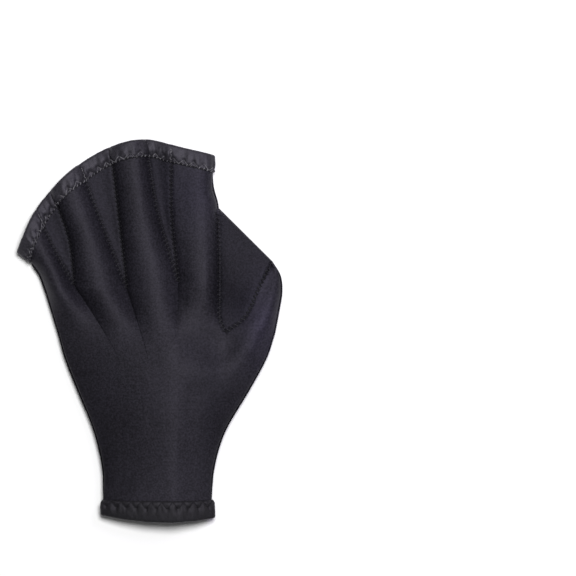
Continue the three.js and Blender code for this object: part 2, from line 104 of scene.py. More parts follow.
# Below the fingers' crotch the two lines of a web run as one
LITTLE_WEB = dict(cross=((-0.158, 0.495), (-0.274, 0.617)), valley=0, crease=(0.3, 1.1))
RING_WEB = dict(cross=((-0.023, 0.495), (-0.077, 0.607)), valley=1, crease=(0.2, 1.0))
MIDDLE_WEB = dict(cross=((0.11, 0.495), (0.115, 0.625)), valley=2, crease=(0.55, 1.05))

# Lines that divide the panels above the thumb's crotch, in order across the glove. A line runs through
# `cross` to the fingers' crotch and through `upper` to its knot of the top edge, or along the thumb.
# Seam heights at the thumb's crotch, the fingers' crotch and the top edge are shares of the finger
# height. The cloth to the right of a line with a crease bulges over it between those shares of `cross`.
LINES = {
    "little_side": dict(cross=((-0.3305, 0.495), (-0.378, 0.602)), upper=((-0.406, 0.65), (-0.45, 0.686)),
                        seam=(0.466, 0.44, 0.4)),
    "little_seam": dict(LITTLE_WEB, upper=((-0.351, 0.715),), seam=(0.466, 0.42, 0.44)),
    "ring_low_seam": dict(LITTLE_WEB, upper=((-0.294, 0.735),), seam=(0.466, 0.42, 0.36)),
    "ring_high_seam": dict(RING_WEB, upper=((-0.166, 0.769),), seam=(0.466, 0.38, 0.38)),
    "middle_low_seam": dict(RING_WEB, upper=((-0.107, 0.792),), seam=(0.466, 0.38, 0.34)),
    "middle_high_seam": dict(MIDDLE_WEB, upper=((0.038, 0.81),), seam=(0.466, 0.48, 0.4)),
    "index_low_seam": dict(MIDDLE_WEB, upper=((0.09, 0.803),), seam=(0.466, 0.48, 0.58)),
    "index_side": dict(cross=((0.292, 0.495), (0.272, 0.526), (0.268, 0.576), (0.268, 0.625)),
                       upper=((0.267, 0.706), (0.258, 0.827), (0.243, 0.87)),
                       valley=3, seam=(0.62, 0.34, 0.38)),
    "thumb_seam": dict(thumb=((0.292, 0.495), (0.367, 0.537), (0.414, 0.607), (0.463, 0.676)),
                       valley=3, seam=(0.62, 0.66, 0.42)),
    "thumb_side": dict(thumb=((0.4715, 0.495), (0.488, 0.555), (0.498, 0.602), (0.492, 0.641),
                              (0.463, 0.676)), seam=(0.466, 0.42, 0.36)),
}
THUMB_TIP = LINES["thumb_side"]["thumb"][-1]

# Lanes between one line and the next. A crest has its heights at three places as shares of the finger
# height, its place across, and the fullness of its two sides.
LANES = {
    "little": dict(crest=(0.98, 0.84, 0.8), peak=0.5, flanks=(0.75, 0.95)),
    "little_web": dict(web=True),
    "ring": dict(crest=(1.02, 0.93, 0.86), peak=0.5, flanks=(0.62, 0.85)),
    "ring_web": dict(web=True),
    "middle": dict(crest=(1.06, 0.98, 0.88), peak=0.55, flanks=(0.62, 0.85)),
    "middle_web": dict(web=True),
    "index": dict(crest=(1.06, 0.88, 0.76), peak=0.6, flanks=(0.75, 0.6)),
    "thumb_web": dict(web=True, thumb=True),
    "thumb": dict(crest=(0.92, 0.8, 0.38), peak=0.6, flanks=(0.8, 0.7), thumb=True),
}
for lane, start_line, end_line in zip(LANES.values(), LINES, list(LINES)[1:]):
    lane.update(start=start_line, end=end_line)

# Folds pressed into the back of the hand, and the ridges between them with a depth below 0: start, end,
# depth, width, power and fade. A power near 1 makes a pinched crease and 2 a round one. A fold with a
# fade runs out towards its end.
FOLDS = [
    ((-0.272, 0.612), (-0.17, 0.5), 0.07, 0.034, 1.5, 1.0),
    ((-0.077, 0.605), (0.0, 0.47), 0.12, 0.036, 1.4, 1.0),
    ((0.116, 0.622), (0.14, 0.53), 0.05, 0.04, 1.8, 1.0),
    ((0.285, 0.49), (0.27, 0.33), 0.13, 0.05, 1.6, 0.8),
    ((0.175, 0.33), (0.165, 0.09), 0.06, 0.045, 1.8, 0.3),
    ((-0.1, 0.27), (-0.08, 0.1), 0.03, 0.04, 2.0, 0.5),
    ((0.1, 0.5), (0.086, 0.08), -0.02, 0.06, 2.0, 0.0),
    ((0.37, 0.47), (0.32, 0.36), -0.09, 0.07, 2.0, 0.0),
]
FOLD_FADE_POWER = 1.5

# Painted shade on the webs, and soft patches of painted shade and painted highlight: place, size and tone
WEB_PAINTED_SHADE = (0.76, 0.76, 0.78)
PAINTED_LIGHT_PATCHES = [
    ((-0.22, 0.36), (0.17, 0.2), (0.78, 0.78, 0.79)),
    ((0.27, 0.27), (0.09, 0.16), (0.76, 0.76, 0.78)),
    ((-0.15, 0.12), (0.1, 0.16), (0.76, 0.76, 0.77)),
    ((0.33, 0.57), (0.07, 0.06), (0.74, 0.74, 0.76)),
    ((0.44, 0.5), (0.07, 0.12), (1.2, 1.15, 1.4)),
    ((0.17, 0.86), (0.12, 0.1), (1.0, 0.99, 1.1)),
]

THUMB_CROTCH = SECTIONS[-1]["along"]
FINGER_CROTCH = RING_WEB["cross"][-1][1]

# A row's progress is 0 at the thumb's crotch, 1 at the fingers' crotch and 2 at the top edge. Ranges of
# it in which the hand turns into fingers and thumb, the crown into crests, the sides grow rounder, the
# webs sag, the edge bulges and the folds run out on the thumb.
FINGER_RANGE = (-0.8, 1.0)
FINGER_POWER = 2.2
THUMB_RANGE = (-1.0, 0.0)
CROWN_RANGE = (-1.0, 1.0)
FINGER_SOFT_RANGE = (0.2, 1.25)
THUMB_SOFT_RANGE = (-0.3, 0.3)
SAG_RANGE = (1.0, 1.6)
BULGE_RANGE = (1.4, 2.0)
THUMB_FOLD_RANGE = (-0.5, 0.0)

# Share of the way between a line's first and last value that lies below the fingers' crotch
CROSS_SHARE = 0.33

# Cross sections of the hand, the fingers and the palm
ARCH_ORDER = 1.6
ROOF_SHARE = 0.7
ROOF_ROUND = 0.26
ROOF_RISE = 1.1
RIDGE_PLACE = 0.095
RIDGE_LIMITS = (0.3, 0.7)
THUMB_VALLEY = 0.8
THUMB_VALLEY_ROWS = 3
FINGER_SOFTNESS = 0.35
SOFT_ORDER = 1.25
PALM_ORDER = 7.0
FINGER_PAD_ORDER = 3.5
FLAT_SHARE = 1.12

# Shares of the thumb over which its lip grows thick, and distances from its tip over which the wall
# turns from upright to the cloth's own direction
THUMB_LIP = (0.7, 1.0)
TIP_REACH = (3.0, 12.0)

# Slow waviness of the lying sheets: height, length across and along, and shift of the seed
WAVES = ((0.34, 17.0, 24.0, 0.0), (0.12, 6.0, 8.0, 11.0))
SHEET_SEEDS = {1: 7.3, -1: 31.9}
WEB_WAVE = 0.5
PALM_WAVE = 0.3

# A row is a number: 0 at the cuff's edge, 2 at the cuff tape's upper edge, then on to the thumb's
# crotch, the fingers' crotch, the free edge of the thumb's web, the top tape's lower edge and the top.
CUFF_ROW = 2.0
THUMB_ROW = 11.0
CROTCH_ROW = 15.0
FREE_EDGE = 19.0
BAND_ROW = 21.0
TOP_ROW = 23.0
ROUNDING = 1e-9

# Steps of the mesh up to each row, and its columns and their easing towards a lane's edges
ROW_STEPS = ((CUFF_ROW, 10), (THUMB_ROW, 72), (CROTCH_ROW, 40), (FREE_EDGE, 80), (BAND_ROW, 32),
             (TOP_ROW, 12))
PANEL_ROWS = [0.0]
for mesh_row, mesh_steps in ROW_STEPS:
    PANEL_ROWS += list(np.linspace(PANEL_ROWS[-1], mesh_row, mesh_steps + 1))[1:]
LANE_COLUMNS = 24
LANE_EASE = 0.1
WEB_COLUMNS = 14
WEB_EASE = 0.05


def lerp(a, b, share):
    return a + (b - a) * share


def smoothstep(value, low, high):
    share = np.clip((value - low) / (high - low), 0.0, 1.0)
    return share * share * (3.0 - 2.0 * share)


def unit(vectors):
    return vectors / np.maximum(np.linalg.norm(vectors, axis=-1), 1e-12)[..., None]


def place(shares):
    """Plan places in millimetres of shares of the breadth and length."""
    return np.asarray(shares) * (GLOVE_BREADTH, GLOVE_LENGTH)


def hermite(share, a, b, slope_a, slope_b):
    """Smooth value from a to b, with the slopes it has at both."""
    s2, s3 = share * share, share ** 3
    return ((2 * s3 - 3 * s2 + 1) * a + (s3 - 2 * s2 + share) * slope_a
            + (3 * s2 - 2 * s3) * b + (s3 - s2) * slope_b)


def run_along(points):
    """Distance to each point along a line of points."""
    return np.concatenate([[0.0], np.cumsum(np.linalg.norm(np.diff(points, axis=0), axis=1))])


class Curve:
    """Centripetal spline through plan points, also walked by its length."""

    SAMPLES = 400
    POWER = 0.25

    def __init__(self, points):
        self.points = points
        self.shares = np.linspace(0.0, 1.0, self.SAMPLES + 1)
        self.run = run_along(np.array([self.at(share) for share in self.shares]))
        self.length = self.run[-1]

    def at(self, share):
        points = self.points
        last = len(points) - 1
        index = min(int(last * share), last - 1)
        weight = last * share - index
        p1, p2 = points[index], points[index + 1]
        p0 = points[index - 1] if index > 0 else 2 * points[0] - points[1]
        p3 = points[index + 2] if index + 2 <= last else 2 * points[last] - points[last - 1]
        d0, d1, d2 = (max(np.dot(b - a, b - a), ROUNDING) ** self.POWER
                      for a, b in ((p0, p1), (p1, p2), (p2, p3)))
        slope1 = ((p1 - p0) / d0 - (p2 - p0) / (d0 + d1) + (p2 - p1) / d1) * d1
        slope2 = ((p2 - p1) / d1 - (p3 - p1) / (d1 + d2) + (p3 - p2) / d2) * d1
        return hermite(weight, p1, p2, slope1, slope2)

    def by_length(self, share):
        return self.at(float(np.interp(share * self.length, self.run, self.shares)))


top_edge = Curve(place(TOP_EDGE))


def top_edge_point(knot):
    """Point of the panels' top edge, a tape's reach inside the tape's outer edge."""
    share = knot / (len(TOP_EDGE) - 1)
    step = 0.0001
    tangent = top_edge.at(min(share + step, 1.0)) - top_edge.at(max(share - step, 0.0))
    tangent = tangent / np.linalg.norm(tangent)
    return top_edge.at(share) + TAPE_REACH * np.array([tangent[1], -tangent[0]])


CURVES = {}
for line_number, (line_name, line) in enumerate(LINES.items()):
    line["knot"] = line_number
    if "thumb" in line:
        CURVES[line_name] = dict(thumb=Curve(place(line["thumb"])))
    else:
        upper = place((line["cross"][-1], *line["upper"]))
        CURVES[line_name] = dict(cross=Curve(place(line["cross"])),
                                 upper=Curve([*upper, top_edge_point(line_number)]))


def body_section(along):
    """Sizes of a cross section of the body at a share of the length."""
    last = len(SECTIONS) - 1
    index = next((n for n, section in enumerate(SECTIONS)
                  if n and section["along"] >= along - ROUNDING), last)
    a, b = SECTIONS[index - 1], SECTIONS[index]
    before, after = SECTIONS[max(0, index - 2)], SECTIONS[min(last, index + 1)]
    span = b["along"] - a["along"]
    share = (along - a["along"]) / span

    def blend(key):
        values = [np.array(section[key], float) for section in (before, a, b, after)]
        slope1 = (values[2] - values[0]) / (b["along"] - before["along"]) * span
        slope2 = (values[3] - values[1]) / (after["along"] - a["along"]) * span
        return hermite(share, values[1], values[2], slope1, slope2)

    return dict(left=blend("left") * GLOVE_BREADTH + SEAM_RIM,
                right=blend("right") * GLOVE_BREADTH - SEAM_RIM,
                valleys=blend("valleys") * GLOVE_BREADTH, seam=blend("seam") * HAND_HEIGHT,
                crown=blend("crown") * HAND_HEIGHT)


def along_list(values, progress):
    """Smooth value from the first at 0 over the second at 1 to the third at 2."""
    progress = min(max(progress, 0.0), 2.0)
    share = progress if progress < 1 else progress - 1
    rise = values[2] - values[0]
    if progress < 1:
        return hermite(share, values[0], values[1], 0.0, rise * CROSS_SHARE)
    return hermite(share, values[1], values[2], rise * (1 - CROSS_SHARE), values[2] - values[1])


def stage_of(row):
    """Stage of a row, with its share of the stage."""
    if row <= THUMB_ROW:
        tape = CUFF_TAPE_WIDTH / GLOVE_LENGTH
        if row <= CUFF_ROW:
            return "body", row / CUFF_ROW * tape
        return "body", lerp(tape, THUMB_CROTCH, (row - CUFF_ROW) / (THUMB_ROW - CUFF_ROW))
    if row <= CROTCH_ROW:
        return "cross", (row - THUMB_ROW) / (CROTCH_ROW - THUMB_ROW)
    if row <= BAND_ROW:
        return "upper", (row - CROTCH_ROW) / (BAND_ROW - CROTCH_ROW)
    return "band", (row - BAND_ROW) / (TOP_ROW - BAND_ROW)


def line_distance(length, stage, share):
    """Distance up a line from the fingers' crotch."""
    if stage == "upper":
        return share * (length - TOP_TAPE_WIDTH)
    return length - TOP_TAPE_WIDTH * (1.0 - share)


def progress_of(row):
    stage, share = stage_of(row)
    if stage == "body":
        return (share - THUMB_CROTCH) / (FINGER_CROTCH - THUMB_CROTCH)
    if stage == "cross":
        return share
    length = CURVES["index_side"]["upper"].length
    return 1.0 + line_distance(length, stage, share) / length


def line_point(name, row):
    """Plan point, seam height, half gap, lip and distance up the line at a row."""
    line = LINES[name]
    stage, share = stage_of(row)
    progress = progress_of(row)
    seam = along_list(line["seam"], progress) * FINGER_HEIGHT
    side = 1.0 if name in ("little_side", "thumb_side") else 0.0
    if name == "index_side":
        side = min(max(row - FREE_EDGE, 0.0), 1.0)
    point = dict(lip=lerp(WEB_WALL, SIDE_LIP, side), gap=PANEL_GAP / 2, seam=seam, run=0.0)
    if stage == "body":
        section = body_section(share)
        if "valley" in line:
            x = section["valleys"][line["valley"]]
        else:
            x = section["left"] if name == "little_side" else section["right"]
        across = (x - section["left"]) / (section["right"] - section["left"])
        bow = CUFF_BOW * (2 * across - 1) ** 2 + CUFF_SLANT * (1 - across)
        cuff = max(0.0, 1.0 - row / CUFF_ROW)
        thumb = smoothstep(progress, *THUMB_RANGE) if line.get("valley") == 3 else 0.0
        point.update(x=float(x), y=share * GLOVE_LENGTH + cuff * (TAPE_REACH + bow),
                     seam=lerp(float(section["seam"]), seam, thumb))
        return point
    if "thumb" in line or stage == "cross":
        if "thumb" in line:
            share = min(1.0, (row - THUMB_ROW) / (FREE_EDGE - THUMB_ROW))
        curve = CURVES[name]["thumb" if "thumb" in line else "cross"]
        plan = curve.by_length(share)
        if name == "thumb_side":
            point["lip"] = lerp(SIDE_LIP, WEB_WALL, smoothstep(share, *THUMB_LIP))
        point.update(x=plan[0], y=plan[1], run=share * curve.length)
        return point
    curve = CURVES[name]["upper"]
    distance = line_distance(curve.length, stage, share)
    plan = curve.by_length(distance / curve.length)
    if stage == "band":
        point["gap"] += TAPE_REACH * (1.0 - side) * min(1.0, 2.0 * share)
    point.update(x=plan[0], y=plan[1], run=distance)
    if name == "index_side":
        point["run"] += CURVES[name]["cross"].length
    return point


def side_share(across, peak):
    """0 at both edges of a lane and 1 at its peak."""
    return np.clip(np.where(across < peak, across / peak, (1 - across) / (1 - peak)), 0, 1)


def crest_shape(across, peak, flanks, soft):
    order = np.where(across < peak, flanks[0], flanks[1])
    return np.sin(side_share(across, peak) * math.pi / 2) ** lerp(order, SOFT_ORDER, soft)


def flat_shape(across, order):
    return np.minimum(1.0, FLAT_SHARE * (1 - np.abs(2 * across - 1) ** order))


def roof_shape(across, peak, softness):
    """Round sides that pass into two nearly flat slopes, with the ridge at the peak. The softness takes
    the roundness off the side beyond the peak."""
    share = side_share(across, peak)
    arch = np.sqrt(np.maximum(0.0, 1 - (1 - share) ** ARCH_ORDER))
    full = math.hypot(1.0, ROOF_ROUND)
    roof = (full - np.hypot(1 - share, ROOF_ROUND)) / (full - ROOF_ROUND)
    return lerp(arch, roof, ROOF_SHARE) ** (1 + softness * (across > peak))


def fold_depth(x, y):
    depth = np.zeros_like(x)
    for start, end, deepest, width, power, fade in FOLDS:
        start = place(start)
        along = place(end) - start
        share = np.clip(((x - start[0]) * along[0] + (y - start[1]) * along[1]) / np.dot(along, along), 0, 1)
        distance = np.hypot(x - start[0] - share * along[0], y - start[1] - share * along[1])
        fading = 1 - fade * share ** FOLD_FADE_POWER
        depth += deepest * fading * HAND_HEIGHT * np.exp(-(distance / (width * GLOVE_BREADTH)) ** power)
    return depth


def band_lift(row):
    edge = min(row, TOP_ROW - row)
    return TAPE_REACH * float(np.interp(edge, (CUFF_ROW, CUFF_ROW + 1, CUFF_ROW + 2), (1.0, 0.5, 0.0)))


# Stitched lines: puckers and a narrow pinch along each line
STITCH_PITCH = 2.6
PINCH_DEPTH = 0.75
PINCH_WIDTH = 1.15
CREASE_RISE = 1.1
CREASE_WIDTH = 2.4
PUCKER_DEPTH = 0.14
PUCKER_WIDTH = 2.2
ZIGZAG_HALF = 1.35


def stitched_relief(lane, row, across, start, end):
    """Height taken off beside the stitched lines at a lane's edges."""
    relief = np.zeros_like(across)
    width = math.hypot(end["x"] - start["x"], end["y"] - start["y"])
    for name, point, share in ((lane["start"], start, across), (lane["end"], end, 1 - across)):
        distance = share * width
        if name == lane["start"] and "crease" in LINES[name] and THUMB_ROW <= row < CROTCH_ROW:
            run_out = smoothstep(stage_of(row)[1], *LINES[name]["crease"])
            relief -= CREASE_RISE * run_out * distance / CREASE_WIDTH * np.exp(1 - distance / CREASE_WIDTH)
        stitched = name.endswith("seam") or (name == "index_side" and row <= FREE_EDGE)
        if not stitched or row < (THUMB_ROW if LINES[name].get("valley") == 3 else CROTCH_ROW):
            continue
        wave = 0.5 - 0.5 * math.cos(2 * math.pi * point["run"] / STITCH_PITCH)
        relief += PINCH_DEPTH * np.exp(-(distance / PINCH_WIDTH) ** 2)
        relief += PUCKER_DEPTH * wave * np.exp(-(distance / PUCKER_WIDTH) ** 2)
    return relief


def painted_light_tone(x, y, web):
    """Colour the cloth's own is multiplied by: painted shade on the webs, which are flatter, and soft patches
    of painted shade and painted highlight.
    """
    # The webs get painted shade; the patches add painted shade, and on the thumb and index painted highlight
    painted_tone = np.array(WEB_PAINTED_SHADE if web else (1.0, 1.0, 1.0))
    for centre, size, patch_painted_tone in PAINTED_LIGHT_PATCHES:
        centre, size = place(centre), place(size)
        weight = math.exp(-((x - centre[0]) / size[0]) ** 2 - ((y - centre[1]) / size[1]) ** 2)
        painted_tone = painted_tone * lerp(np.ones(3), np.array(patch_painted_tone), weight)
    return painted_tone


def slow_waves(x, y, seed, waves):
    """Noise at some places, summed over waves of a height, two lengths and a shift of the seed."""
    return np.array([sum(height * noise.noise(Vector((px / across, py / along, seed + shift)))
                         for height, across, along, shift in waves) for px, py in zip(x, y)])


def panel_row(face, lane, row, across):
    """Outer surface of a panel along one row of a lane: x, y, z, wall, seam height and half gap."""
    start, end = line_point(lane["start"], row), line_point(lane["end"], row)
    progress = progress_of(row)
    x, y = lerp(start["x"], end["x"], across), lerp(start["y"], end["y"], across)
    web = lane.get("web", False)
    sag = -WEB_SAG * np.sin(across * math.pi) * smoothstep(progress, *SAG_RANGE) * web
    seam = lerp(start["seam"], end["seam"], across) + sag
    gap = lerp(start["gap"], end["gap"], across)
    thumb = lane.get("thumb", False)
    if row >= CROTCH_ROW and not thumb:
        low, high = LINES[lane["start"]]["knot"], LINES[lane["end"]]["knot"]
        chord = lerp(top_edge_point(low)[None, :], top_edge_point(high)[None, :], across[:, None])
        bulge = np.array([top_edge_point(lerp(low, high, share)) for share in across]) - chord
        share = smoothstep(progress, *BULGE_RANGE)
        x, y = x + bulge[:, 0] * share, y + bulge[:, 1] * share

    def edge(point):
        return point["seam"] + face * (point["gap"] + point["lip"])

    base = lerp(edge(start), edge(end), across)
    relief = stitched_relief(lane, row, across, start, end)
    if web:
        z = base + sag - face * relief
        wave = slow_waves(x, y, SHEET_SEEDS[face], WAVES) * WEB_WAVE * np.sin(across * math.pi)
        return x, y, z + wave, np.full_like(x, WEB_WALL), seam, gap
    soft = FINGER_SOFTNESS * (1.0 - smoothstep(progress, *FINGER_SOFT_RANGE))
    if thumb:
        soft = 1.0 - smoothstep(progress, *THUMB_SOFT_RANGE)
    if face > 0:
        shape = crest_shape(across, lane["peak"], lane["flanks"], soft)
    else:
        shape = flat_shape(across, FINGER_PAD_ORDER)
    floor = band_lift(row)
    thumb_share = min(max((row - THUMB_ROW) / (FREE_EDGE - THUMB_ROW), 0.0), 1.0)
    step = 2 * thumb_share if thumb else 2 * max(0.0, progress - 1)
    crest = along_list(lane["crest"], step) * FINGER_HEIGHT if face > 0 else floor
    tube = lerp(base, crest, shape)
    if row > THUMB_ROW and thumb:
        z = tube
    else:
        first, hand_end = line_point("little_side", row), line_point("index_side", row)
        last = line_point("thumb_side" if row <= FREE_EDGE else "index_side", row)
        stage, along = stage_of(row)
        section = body_section(along if stage == "body" else THUMB_CROTCH)
        crown = floor
        if face > 0:
            crown = lerp(float(section["crown"]) * ROOF_RISE, lane["crest"][0] * FINGER_HEIGHT,
                         smoothstep(progress, *CROWN_RANGE))

        def body_shape(value, edge_point, softness=0.0):
            if face < 0:
                return flat_shape(value, PALM_ORDER)
            ridge = (RIDGE_PLACE * GLOVE_BREADTH - first["x"]) / (edge_point["x"] - first["x"])
            return roof_shape(value, np.clip(ridge, *RIDGE_LIMITS), softness)

        valley = THUMB_VALLEY * (1 - smoothstep(row, THUMB_ROW, THUMB_ROW + THUMB_VALLEY_ROWS))
        whole_share = np.clip((x - first["x"]) / (last["x"] - first["x"]), 0, 1)
        hand_share = np.clip((x - first["x"]) / (hand_end["x"] - first["x"]), 0, 1)
        whole = lerp(lerp(edge(first), edge(last), whole_share), crown, body_shape(whole_share, last))
        hand_shape = body_shape(hand_share, hand_end, valley)
        hand = lerp(lerp(edge(first), edge(hand_end), hand_share), crown, hand_shape)
        thumb_blend = smoothstep(progress, *THUMB_RANGE)
        finger_blend = smoothstep(progress, *FINGER_RANGE) ** FINGER_POWER
        part = tube if thumb else lerp(hand, tube, finger_blend)
        rise = thumb_blend if thumb else max(thumb_blend, finger_blend)
        part_shape = shape if thumb else lerp(hand_shape, shape, finger_blend)
        z = lerp(whole, part, rise)
        shape = lerp(body_shape(whole_share, last), part_shape, rise)
        if face > 0:
            fading = 1 - smoothstep(progress, *THUMB_FOLD_RANGE) if thumb else 1.0
            z = z - fold_depth(x, y) * shape * fading
    wave = slow_waves(x, y, SHEET_SEEDS[face], WAVES) * shape
    if face < 0:
        wave = np.maximum(wave, 0.0) * PALM_WAVE
    return x, y, z - face * relief + wave, lerp(WEB_WALL, PANEL_WALL, shape), seam, gap


def ease(count, amount):
    share = np.linspace(0.0, 1.0, count + 1)
    return share - amount * np.sin(2 * math.pi * share)


def lane_rows(lane):
    low = 0.0
    if lane.get("web"):
        low = THUMB_ROW if lane.get("thumb") else CROTCH_ROW
    high = FREE_EDGE if lane.get("thumb") else TOP_ROW
    return [row for row in PANEL_ROWS if low - ROUNDING <= row <= high + ROUNDING]


def build_panel(face):
    """One panel as vertices and faces: outer sheet, inner sheet and the cut edges between them."""
    known, vertices, painted_tones, sheet, strips, creases = {}, [], [], [], {}, set()

    def add(numbers, web):
        key = (round(numbers[0], 3), round(numbers[1], 3))
        if key not in known:
            known[key] = len(vertices)
            vertices.append(numbers)
            # Each vertex keeps its painted shade and highlight
            painted_tones.append(painted_light_tone(numbers[0], numbers[1], web))
        return known[key]

    for lane in LANES.values():
        web = lane.get("web", False)
        across = ease(WEB_COLUMNS, WEB_EASE) if web else ease(LANE_COLUMNS, LANE_EASE)
        below = None
        for row in lane_rows(lane):
            values = panel_row(face, lane, row, across)
            rim = SEAM_RIM * float(np.interp(min(row, TOP_ROW - row), (CUFF_ROW, CUFF_ROW + 1), (0, 1)))
            current = [add((*numbers, rim), web) for numbers in zip(*values)]
            strip = strips.setdefault(row, [])
            strip += [vertex for vertex in current if not strip or vertex != strip[-1]]
            if below and "crease" in LINES[lane["start"]] and THUMB_ROW < row <= CROTCH_ROW:
                creases.add(tuple(sorted((below[0], current[0]))))
            if below:
                for column in range(len(across) - 1):
                    quad = [below[column], below[column + 1], current[column + 1], current[column]]
                    if face < 0:
                        quad.reverse()
                    ring = [v for n, v in enumerate(quad) if v != quad[n - 1]]
                    if 3 <= len(ring) == len(set(ring)):
                        sheet.append(tuple(ring))
            below = current
    table = np.array(vertices)
    outer = table[:, :3]
    walls, seams, gaps, rims = table[:, 3:].T
    normals = vertex_normals(outer, sheet)
    from_tip = np.linalg.norm(outer[:, :2] - place(THUMB_TIP), axis=1)[:, None]
    inward = unit(lerp(np.array([0.0, 0.0, face]), normals, smoothstep(from_tip, *TIP_REACH)))
    inner = outer - inward * walls[:, None]
    limit = seams + face * gaps
    inner[:, 2] = np.maximum(inner[:, 2], limit) if face > 0 else np.minimum(inner[:, 2], limit)
    edges = open_edges(sheet)
    if face < 0:
        push = np.zeros_like(outer)
        for a, b in edges:
            along = outer[b] - outer[a]
            push[[a, b]] += (-along[1], along[0], 0.0)
        outer = outer + unit(push) * rims[:, None]
    count = len(outer)
    faces = sheet + [tuple(vertex + count for vertex in reversed(ring)) for ring in sheet]
    faces += [(b, a, a + count, b + count) for a, b in edges]
    return dict(points=np.vstack([outer, inner]), faces=faces, painted_tones=np.vstack([painted_tones, painted_tones]),
                creases=creases, outer=outer, inner=inner, normals=normals, strips=strips,
                sheet_faces=len(sheet), limit=limit, gaps=gaps, face=face)


def vertex_normals(points, faces):
    normals = np.zeros_like(points)
    for size in (3, 4):
        rings = np.array([ring for ring in faces if len(ring) == size], int).reshape(-1, size)
        corners = points[rings]
        cross = np.cross(corners[:, 2] - corners[:, 0], corners[:, -1] - corners[:, 1])
        for column in range(size):
            np.add.at(normals, rings[:, column], cross)
    return unit(normals)


def open_edges(faces):
    edges = [(ring[number - 1], b) for ring in faces for number, b in enumerate(ring)]
    known = set(edges)
    return [(a, b) for a, b in edges if (b, a) not in known]


PAINTED_LIGHT_ATTRIBUTE = "painted_light_tone"


def link_object(name, data):
    made = bpy.data.objects.new(name, data)
    bpy.context.scene.collection.objects.link(made)
    return made


def add_piece(name, solid, material, node=None):
    """Mesh object in metres, in the part's frame."""
    mesh = bpy.data.meshes.new(name)
    moved = (np.asarray(solid["points"]) + ORIGIN) * MM
    moved[:, 2] = np.maximum(moved[:, 2], FLOOR_GAP * MM)
    mesh.from_pydata([tuple(point) for point in moved], [], solid["faces"])
    mesh.validate()
    mesh.materials.append(material)
    for polygon in mesh.polygons:
        polygon.use_smooth = True
    for edge in mesh.edges:
        if tuple(sorted(edge.vertices)) in solid.get("creases", ()):
            edge.use_edge_sharp = True
    # Painted shade and highlight per vertex, kept as a colour attribute
    if "painted_tones" in solid:
        colours = mesh.color_attributes.new(PAINTED_LIGHT_ATTRIBUTE, "FLOAT_COLOR", "POINT")
        painted_tones = np.hstack([solid["painted_tones"], np.ones((len(solid["painted_tones"]), 1))])
        colours.data.foreach_set("color", painted_tones.ravel())
    piece = link_object(name, mesh)
    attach(piece, "root")
    if node:
        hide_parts(node)
    return piece


# Tapes. A tape's place is its distance in millimetres along the tape and its share of the tape's width,
# from the stitched edge at 0 to the fold at 1.
TAPE_STEP = 0.5
FOLD_ANGLES = np.radians([25.0, 50.0, 75.0, 105.0, 130.0, 155.0])
INNER_SHARE = 0.5
TOP_ZIGZAG = dict(pitch=5.9, low=0.02, high=0.34, pit=1.0)
CUFF_ZIGZAG = dict(pitch=6.05, low=0.03, high=0.4, pit=1.15)
TAPE_SEEDS = dict(back=1.1, palm=2.3, cuff=3.7)

# Relief of a tape as shares of its wall: pits at the needle holes, a groove under the thread, creases
# where a seam crosses, puffs between the holes, wrinkles and the roll of the fold
HIGH_PIT = 0.7
LOW_PIT = 0.6
GROOVE = 0.3
GROOVE_WIDTH = 0.4
CREASE = 0.5
CREASE_HALF = 0.7
WELT = 0.2
WELT_PLACE = 1.8
WELT_WIDTH = 0.9
PUFF = 0.2
PUFF_LENGTH = 9.0
SPOT_RATE = 0.37
WRINKLE = 0.34
WRINKLES = ((1.0, 2.6, 5.0, 0), (0.5, 1.2, 3.0, 5))
ROLL = 0.45
FADE_OUT = (0.6, 1.0)
THICKNESS_LIMITS = (0.25, 1.7)
THIN_EDGE = 0.62
THIN_END = 0.45

# Threads: radii, pitches and how far a stitch of the top tapes wanders in thickness and height
TAPE_THREAD = 0.26
EDGE_PITCH = 2.4
EDGE_THREAD = 0.34
SEAM_THREAD = 0.36
TAPE_POINTS = 7
SEAM_POINTS = 5
THICKNESS_WANDER = 0.7
HEIGHT_WANDER = 2.4


def smooth_columns(grid, ring):
    for _ in range(2):
        smooth = (np.roll(grid, 1, axis=1) + 2 * grid + np.roll(grid, -1, axis=1)) / 4
        if not ring:
            smooth[:, [0, -1]] = grid[:, [0, -1]]
        grid = smooth
    return grid


def resampled(grids, guide, ring):
    """Grids of rows by columns at even steps of the length along the guide row."""
    line = np.concatenate([guide, guide[:1]]) if ring else guide
    run = run_along(line)
    count = int(round(run[-1] / TAPE_STEP))
    at = np.linspace(0.0, run[-1], count + 1)[:count if ring else count + 1]
    made = []
    for grid in grids:
        whole = np.concatenate([grid, grid[:, :1]], axis=1) if ring else grid
        rows = [np.stack([np.interp(at, run, row[:, axis]) for axis in range(3)], axis=1) for row in whole]
        made.append(smooth_columns(np.array(rows), ring))
    return made, at, run


